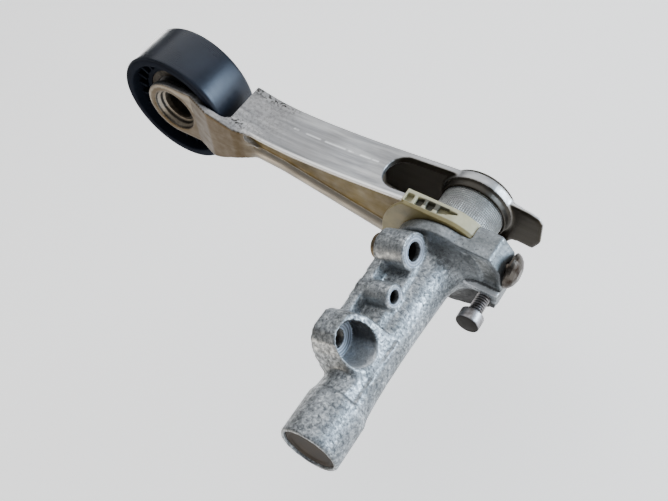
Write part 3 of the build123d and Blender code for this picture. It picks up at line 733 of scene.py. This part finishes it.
pulley_finish = belt_polished_nylon()
pulley_body = turned("pulley_moulding", pulley_centre, (
    (bearing_seat_r, hub_y), (hub_r, hub_y), (hub_r, web_y, 0.8), (rim_inner_r, web_y, 0.8),
    (rim_inner_r, pulley_y, 0.9), (rim_r, pulley_y, 2.2), (rim_r, pulley_end_y, 2.2),
    (rim_inner_r, pulley_end_y, 0.9), (rim_inner_r, web_end_y, 0.8), (hub_r, web_end_y, 0.8),
    (hub_r, hub_end_y), (bearing_seat_r, hub_end_y)), 0.3, 192)
pulley_ribs = grown("pulley_ribs", rib_ring(), {
    "Ring Radius": (hub_r + rim_inner_r) / 2 * mm, "Rib Length": 5.6 * mm, "Rib Height": 17.0 * mm,
    "Rib Width": 1.3 * mm, "Count": rib_count, "Finish": pulley_finish,
    "Centre": (pulley_centre.x, (pulley_y + pulley_end_y) / 2 * mm, pulley_centre.z)})
rim_places = points_of(pulley_body.data) - np.array(pulley_centre)
mark(pulley_body, "belt", np.hypot(rim_places[:, 0], rim_places[:, 2]) > 31.9 * mm)
shade(pulley_body, 40)
finish_with(pulley_body, pulley_finish, "pulley_plastic", "pulley", "pulley")
finish_with(pulley_ribs, pulley_finish, "pulley_plastic", "pulley")


# Axle and bearing. A hollow steel axle is pressed into the arm's end boss and flared over the
# inner ring of a 17 x 40 x 12 ball bearing, which has a rubber seal on each side.
axle_hole_r, axle_r, axle_flare_r = 7.2, 8.49, 10.7
bearing_y, bearing_end_y = 84.52, 96.52


def turned_steel(name, light, dark, rough):
    """Turned steel with fine rings round the pulley's axis and a little brown tarnish."""
    material, tree, shader = node_sheet(name)
    tarnish = noise(tree, object_space(tree), 260.0, 4.0, 0.6, 0.4)
    grain = noise(tree, object_space(tree, stretch=(60.0, 3000.0, 60.0)), 1.0, 2.0)
    connect(tree, shader, Metallic=1.0, Base_Color=ramp(tree, tarnish, ((0.35, dark), (0.60, light))),
            Roughness=grey_ramp(tree, tarnish, 0.3, 0.7, rough + 0.15, rough))
    bump(tree, shader, (grain, 0.02, 0.3), (tarnish, 0.05, 0.2))
    return material


def moulded(name, colour, lighter, rough):
    """A plain moulded part with slightly uneven colour and gloss."""
    material, tree, shader = node_sheet(name)
    place = object_space(tree)
    cloud = noise(tree, place, 120.0, 3.0)
    connect(tree, shader, Base_Color=ramp(tree, cloud, ((0.3, colour), (0.7, lighter))),
            Roughness=grey_ramp(tree, cloud, 0.3, 0.7, rough, rough + 0.12))
    bump(tree, shader, (noise(tree, place, 1500.0, 2.0), 0.05, 0.25))
    return material


def bearing_ring(name, inner_r, outer_r, start_y, end_y, rounding, steps=96):
    """A plain ring round the pulley's axis."""
    return turned(name, pulley_centre, (
        (inner_r, start_y), (outer_r, start_y), (outer_r, end_y), (inner_r, end_y)), rounding, steps)


axle_finish = turned_steel("axle_steel", (0.032, 0.026, 0.019), (0.011, 0.009, 0.007), 0.45)
ring_finish = turned_steel("bearing_steel", (0.55, 0.54, 0.53), (0.35, 0.34, 0.33), 0.18)
grimy_finish = turned_steel("grimy_ring", (0.055, 0.048, 0.040), (0.022, 0.018, 0.014), 0.5)
seal_finish = moulded("seal_rubber", (0.015, 0.015, 0.015), (0.03, 0.03, 0.028), 0.5)
axle = turned("axle_turning", pulley_centre, (
    (axle_hole_r, 82.9), (8.2, 81.5), (9.0, 81.3), (9.28, 81.6), (9.28, 84.5), (axle_r, 84.5),
    (axle_r, 96.57), (axle_flare_r, 96.57), (axle_flare_r, 97.9, 0.6), (axle_hole_r, 98.4, 0.8)), 0.3)
inner_ring = bearing_ring("inner_ring", 8.5, 12.2, bearing_y, bearing_end_y, 0.4)
outer_ring = bearing_ring("outer_ring", 16.3, 20.0, bearing_y, bearing_end_y, 0.4, 128)
seal_near = bearing_ring("seal_near", 12.3, 16.29, 85.0, 86.0, 0.2)
seal_far = bearing_ring("seal_far", 12.3, 16.29, 95.0, 96.0, 0.2)
for piece in (axle, inner_ring, outer_ring, seal_near, seal_far):
    shade(piece, 35)
finish_with(axle, axle_finish, "axle_steel", "arm", "pulley_axle")
finish_with(inner_ring, ring_finish, "bearing_steel", "arm", "bearing_inner_ring")
finish_with(outer_ring, grimy_finish, "bearing_steel", "pulley", "bearing_outer_ring")
finish_with(seal_near, seal_finish, "seal_rubber", "pulley", "bearing_seal_near")
finish_with(seal_far, seal_finish, "seal_rubber", "pulley", "bearing_seal_far")


# Thrust ring. Cream glass-filled nylon between housing and arm, with a pocketed band on top that
# has stayed pale while its flange has turned yellow with oil.
flange_top_y = 68.6


def oiled_nylon():
    """Cream nylon with a grain, yellowed on its flange and dark in its pockets."""
    material, tree, shader = node_sheet("oiled_nylon")
    place = object_space(tree)
    cloud = noise(tree, place, 150.0, 3.0)
    fleck = noise(tree, place, 1400.0, 3.0, 0.7)
    clean = ramp(tree, cloud, ((0.3, (0.38, 0.35, 0.22)), (0.7, (0.53, 0.50, 0.34))))
    oily = ramp(tree, cloud, ((0.3, (0.125, 0.098, 0.030)), (0.7, (0.20, 0.160, 0.058))))
    skin = coat(tree, clean, stored(tree, "oil_and_shade"), oily)
    # Painted shade in narrow hollows
    skin = coat(tree, skin, times(tree, hollows(tree, 0.003, 0.6, 0.2), 0.8), (0.07, 0.055, 0.03))
    skin = coat(tree, skin, stored(tree, "pocket"), (0.032, 0.030, 0.022))
    connect(tree, shader, Base_Color=skin, Roughness=0.48, Subsurface_Weight=0.12,
            Subsurface_Radius=(0.002, 0.0015, 0.0008))
    bump(tree, shader, (fleck, 0.06, 0.35))
    return material


ring = cast_copy("thrust_ring", "thrust_ring_moulding", 0.30)
soften(ring, 2, np.zeros(len(ring.data.vertices)))
ring_y = points_of(ring.data)[:, 1] / mm
ring_u, ring_c, _ = arm_places(ring.data)
ring_reach = np.hypot(ring_u, ring_c)
pocket = fade(ring_reach, 28, 27) * (ring_reach > 22.5) * between(ring_y, 70.0, 73.6) * (ring_u > 1.0)
mark(ring, "pocket", 0.9 * pocket)
mark(ring, "oil_and_shade", fade(ring_y, flange_top_y, flange_top_y - 0.5))
shade(ring, 60)
finish_with(ring, oiled_nylon(), "nylon", "base", "thrust_ring")


# Friction sleeve. A bush with a woven wire backing, pushed over the housing's journal. It shows
# through the arm's window as a fine square mesh.
sleeve_bore_r, sleeve_bush_r, sleeve_r = 14.41, 15.32, 15.55
sleeve_y, sleeve_end_y = 68.3, 96.1
wire_r = 0.17
weave_y, weave_length = 69.0, 26.4


def woven_backing():
    """A Geometry Nodes tree: wires round a drum and along it, crossing in a square mesh."""
    tree, given = new_tree("woven_backing", ("Float", "Drum Radius", "Drum Length", "Wire Radius"),
                           ("Int", "Hoops", "Stringers"), ("Vector", "Start"))
    section = add_node(tree, "GeometryNodeCurvePrimitiveCircle", Resolution=5,
                       Radius=given["Wire Radius"])
    hoop_line = add_node(tree, "GeometryNodeCurvePrimitiveCircle", Resolution=72,
                         Radius=given["Drum Radius"])
    hoop = add_node(tree, "GeometryNodeCurveToMesh", Curve=hoop_line.outputs["Curve"],
                    Profile_Curve=section.outputs["Curve"])
    run = add_node(tree, "ShaderNodeCombineXYZ", Z=given["Drum Length"])
    axis_line = add_node(tree, "GeometryNodeMeshLine", mode="END_POINTS", Count=given["Hoops"],
                         Offset=run.outputs["Vector"])
    hoops = add_node(tree, "GeometryNodeInstanceOnPoints", Points=axis_line.outputs["Mesh"],
                     Instance=hoop.outputs["Mesh"])
    wire_line = add_node(tree, "GeometryNodeCurvePrimitiveLine", End=run.outputs["Vector"])
    wire = add_node(tree, "GeometryNodeCurveToMesh", Curve=wire_line.outputs["Curve"],
                    Profile_Curve=section.outputs["Curve"], Fill_Caps=True)
    around = add_node(tree, "GeometryNodeMeshCircle", Vertices=given["Stringers"],
                      Radius=given["Drum Radius"])
    stringers = add_node(tree, "GeometryNodeInstanceOnPoints", Points=around.outputs["Mesh"],
                         Instance=wire.outputs["Mesh"])
    both = add_node(tree, "GeometryNodeJoinGeometry", Geometry=hoops.outputs["Instances"])
    tree.links.new(stringers.outputs["Instances"], both.inputs["Geometry"])
    return lay_and_paint(tree, both.outputs["Geometry"], -90, given["Start"], given["Finish"])


wire_finish = turned_steel("woven_wire", (0.52, 0.53, 0.53), (0.31, 0.31, 0.30), 0.38)
backing_finish = moulded("sleeve_backing", (0.15, 0.155, 0.15), (0.23, 0.235, 0.23), 0.55)
sleeve = turned("sleeve_bush", pivot, (
    (sleeve_bore_r, sleeve_y), (sleeve_bush_r, sleeve_y), (sleeve_bush_r, sleeve_end_y),
    (sleeve_bore_r, sleeve_end_y)), 0.1)
weave = grown("sleeve_weave", woven_backing(), {
    "Drum Radius": (sleeve_r - wire_r) * mm, "Drum Length": weave_length * mm,
    "Wire Radius": wire_r * mm, "Hoops": 25, "Stringers": 88,
    "Start": (pivot.x, weave_y * mm, pivot.z), "Finish": wire_finish})
shade(sleeve, 40)
shade(weave, 180)
finish_with(sleeve, backing_finish, "sleeve_mesh", "base", "friction_sleeve")
finish_with(weave, wire_finish, "sleeve_mesh", "base")


# Lock screw. A steel screw with a plain round head and a coarse thread, which runs parallel to the
# pivot into the side block. A few turns of its thread stand free between head and block.
screw_axis = pivot + along_arm * (-24.6 * mm) + across_arm * (-7.0 * mm)
screw_head_r = 5.6
screw_y, screw_neck_y, screw_end_y = 43.2, 49.2, 63.6
thread_length = screw_end_y - screw_neck_y + 0.4
thread_root_r = 2.50


def thread_tree():
    """A Geometry Nodes tree: a V thread round a shank along Z, with closed ends."""
    tree, given = new_tree("screw_thread", ("Float", "Root Radius", "Thread Depth", "Pitch", "Length"),
                           ("Vector", "Start"))
    shank = add_node(tree, "GeometryNodeMeshCylinder", Vertices=64, Side_Segments=180,
                     Radius=given["Root Radius"], Depth=given["Length"])
    place = add_node(tree, "GeometryNodeInputPosition")
    parts = add_node(tree, "ShaderNodeSeparateXYZ", Vector=place.outputs["Position"]).outputs
    angle = arithmetic(tree, "ARCTAN2", parts["Y"], parts["X"])
    turns = arithmetic(tree, "DIVIDE", angle, 2 * pi)
    rise = arithmetic(tree, "DIVIDE", parts["Z"], given["Pitch"])
    phase = arithmetic(tree, "PINGPONG", less(tree, rise, turns), 0.5)
    depth = times(tree, times(tree, phase, 2.0), given["Thread Depth"])
    outward = add_node(tree, "ShaderNodeCombineXYZ",
                       X=times(tree, depth, arithmetic(tree, "COSINE", angle)),
                       Y=times(tree, depth, arithmetic(tree, "SINE", angle)))
    push = add_node(tree, "GeometryNodeSetPosition", Geometry=shank.outputs["Mesh"],
                    Offset=outward.outputs["Vector"])
    return lay_and_paint(tree, push.outputs["Geometry"], -90, given["Start"], given["Finish"])


def screw_with_painted_shade():
    """Turned steel with near-black painted shade in the thread's roots and on the head's end."""
    material = turned_steel("screw_steel", (0.34, 0.33, 0.34), (0.15, 0.14, 0.135), 0.36)
    tree = material.node_tree
    shader = tree.nodes["Principled BSDF"]
    steel = shader.inputs["Base Color"].links[0].from_socket
    oil_and_shade = stored(tree, "oil_and_shade")
    unshaded = less(tree, 1.0, oil_and_shade)
    connect(tree, shader, Base_Color=coat(tree, steel, oil_and_shade, (0.010, 0.008, 0.006)), Metallic=unshaded,
            Specular_IOR_Level=arithmetic(tree, "ADD", 0.08, times(tree, unshaded, 0.4)))
    return material


screw_finish = screw_with_painted_shade()
screw_head = turned("lock_screw_head", screw_axis, (
    (0, screw_y), (screw_head_r, screw_y), (screw_head_r, screw_neck_y), (0, screw_neck_y)), 0.7)
screw_thread = grown("lock_screw_thread", thread_tree(), {
    "Root Radius": thread_root_r * mm, "Thread Depth": 0.80 * mm, "Pitch": 1.25 * mm,
    "Length": thread_length * mm, "Finish": screw_finish,
    "Start": (screw_axis.x, (screw_end_y - thread_length / 2) * mm, screw_axis.z)})
head_places = points_of(screw_head.data)[:, 1] / mm
thread_places = (points_of(screw_thread.data) - np.array(screw_axis)) / mm
thread_reach = np.hypot(thread_places[:, 0], thread_places[:, 2])
# Painted shade on the head's end and in the thread's roots
mark(screw_head, "oil_and_shade", fade(head_places, screw_y + 0.5, screw_y + 0.1))
mark(screw_thread, "oil_and_shade", fade(thread_reach, thread_root_r + 0.5, thread_root_r + 0.1))
shade(screw_head, 40)
shade(screw_thread, 25)
finish_with(screw_head, screw_finish, "screw_steel", "base", "lock_screw")
finish_with(screw_thread, screw_finish, "screw_steel", "base")


# End cap and hub cover. A brown disc snaps into the tube's open end, and a cover of the same
# plastic is pressed into the arm's far wall over the spring's socket.
cap_finish = moulded("cap_plastic", (0.030, 0.024, 0.019), (0.058, 0.046, 0.036), 0.6)
cap_finish.node_tree.nodes["Principled BSDF"].inputs["Specular IOR Level"].default_value = 0.12
end_cap = turned("end_cap_disc", pivot, (
    (0, -41.2), (9.0, -41.2), (10.2, -41.8), (11.78, -41.8), (11.78, -40.05), (0, -40.05)), 0.5)
hub_cap = turned("hub_cap_cover", pivot, (
    (0, 106.2), (14.5, 105.8, 2.0), (17.2, 104.0, 1.5), (17.2, 103.05), (15.5, 103.05), (15.5, 102.4),
    (0, 102.4)), 0.2)
shade(end_cap, 40)
shade(hub_cap, 40)
finish_with(end_cap, cap_finish, "cap_brown", "base", "end_cap")
finish_with(hub_cap, cap_finish, "cap_plastic", "arm", "hub_cap")


# Dome screw and dowel. The dome-headed steel screw sits in the side block's end, and the hollow
# steel dowel is pressed into the mounting face round the upper bolt.
dome_seat = pivot + along_arm * (-32.1 * mm) + across_arm * (10.5 * mm)
dome_seat.y = 66.5 * mm
dowel_seat = Vector((0, bolt_bosses[1][0], bolt_bosses[1][1])) * mm


def turned_along(name, corners, seat, heading, radius=0.0):
    """A turned piece whose axis leaves its seat along heading. corners are (r, height) in mm."""
    piece = turned(name, Vector((0, 0, 0)), corners, radius)
    swing = Vector((0, 1, 0)).rotation_difference(heading.normalized())
    piece.data.transform(Matrix.Translation(seat) @ swing.to_matrix().to_4x4())
    return piece


dome_finish = turned_steel("dome_steel", (0.090, 0.080, 0.070), (0.024, 0.016, 0.011), 0.24)
dowel_finish = turned_steel("dowel_steel", (0.19, 0.155, 0.11), (0.075, 0.055, 0.034), 0.42)
dome = turned_along("dome_screw_head", (
    (0, 5.0), (3.4, 4.75), (5.9, 3.7), (7.5, 2.2), (8.2, 0.8), (8.2, 0.0), (2.95, 0.0), (2.95, -6.0),
    (0, -6.0)), dome_seat, -along_arm, 0.6)
dowel = turned_along("hollow_dowel", (
    (4.6, 5.9), (6.59, 5.9), (6.59, 0.0), (5.95, 0.0), (5.95, -4.1, 1.3), (4.6, -4.1, 0.3)),
    dowel_seat, Vector((1, 0, 0)))
shade(dome, 50)
shade(dowel, 40)
finish_with(dome, dome_finish, "screw_steel", "base", "dome_screw")
finish_with(dowel, dowel_finish, "screw_steel", "base", "locating_dowel")


# Inner pieces. Steel spring leaves with their anchor and socket run down the tube, and a nylon
# washer, the bearing's steel balls and their cage are closed in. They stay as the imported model
# has them, with finishes of their own.
spring_finish = turned_steel("spring_steel", (0.30, 0.29, 0.28), (0.14, 0.12, 0.10), 0.35)
cage_finish = moulded("cage_plastic", (0.32, 0.17, 0.07), (0.45, 0.26, 0.12), 0.4)
washer_finish = moulded("washer_plastic", (0.42, 0.38, 0.26), (0.55, 0.50, 0.36), 0.5)
for node, material in (
    ("torsion_leaves", spring_finish), ("leaf_anchor", spring_finish), ("leaf_socket", spring_finish),
    ("rear_washer", washer_finish), ("bearing_balls", ring_finish), ("ball_cage", cage_finish),
):
    mesh = frame["nodes"][node].data
    mesh.materials.clear()
    mesh.materials.append(material)
